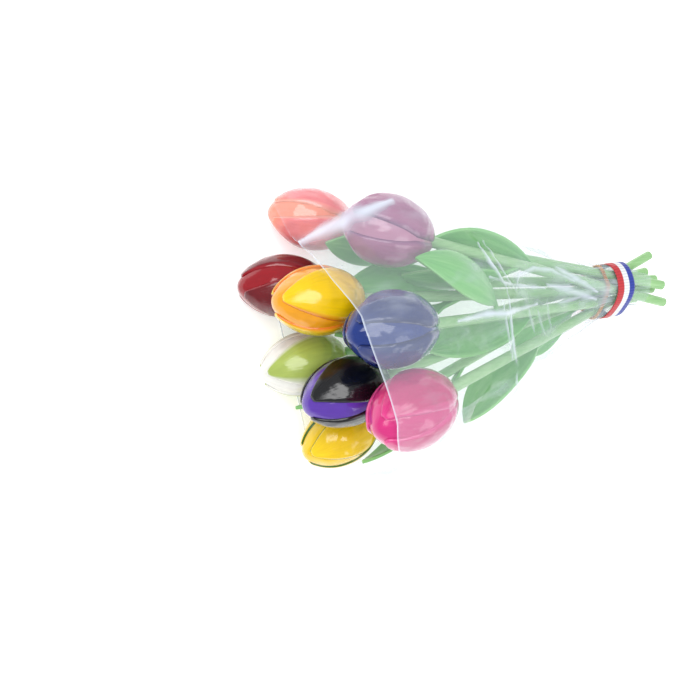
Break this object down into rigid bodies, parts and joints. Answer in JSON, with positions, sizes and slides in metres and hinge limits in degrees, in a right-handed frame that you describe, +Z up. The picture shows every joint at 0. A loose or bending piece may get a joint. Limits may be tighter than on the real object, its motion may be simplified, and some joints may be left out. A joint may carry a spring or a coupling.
{
  "type": "bunch of wooden tulips",
  "caption": "Bunch of painted wooden tulips with carved leaves, rolled in clear film and tied with a ribbon, lying on its side.",
  "frame": {"origin": "on the table under the middle of the whole bunch", "axes": "+X along the bunch towards the stem ends, heads towards -X; +Z up from the table the bunch lies on"},
  "size_m": [0.2178, 0.1268, 0.0808],
  "materials": {
    "paint_salmon": "gloss lacquer",
    "paint_lilac": "gloss lacquer",
    "paint_red": "gloss lacquer",
    "paint_orange": "gloss lacquer",
    "paint_white": "gloss lacquer",
    "paint_blue": "gloss lacquer",
    "paint_black": "gloss lacquer",
    "paint_magenta": "gloss lacquer",
    "paint_yellow": "gloss lacquer",
    "paint_green": "satin lacquer",
    "clear_film": "gloss",
    "ribbon_cloth": "woven",
    "rubber": "matte"
  },
  "bodies": {
    "root": {"head_salmon": "paint_salmon", "head_lilac": "paint_lilac", "head_red": "paint_red", "head_orange": "paint_orange", "head_white": "paint_white", "head_blue": "paint_blue", "head_black": "paint_black", "head_magenta": "paint_magenta", "head_yellow": "paint_yellow", "stem_salmon": "paint_green", "stem_lilac": "paint_green", "stem_red": "paint_green", "stem_orange": "paint_green", "stem_white": "paint_green", "stem_blue": "paint_green", "stem_black": "paint_green", "stem_magenta": "paint_green", "stem_yellow": "paint_green", "leaf_salmon": "paint_green", "leaf_lilac": "paint_green", "leaf_lilac_inner": "paint_green", "leaf_red": "paint_green", "leaf_orange": "paint_green", "leaf_white": "paint_green", "leaf_blue": "paint_green", "leaf_blue_inner": "paint_green", "leaf_black": "paint_green", "leaf_magenta": "paint_green", "leaf_yellow": "paint_green", "rubber_band": "rubber", "film_wrap": "clear_film", "ribbon": "ribbon_cloth"}
  },
  "joints": []
}
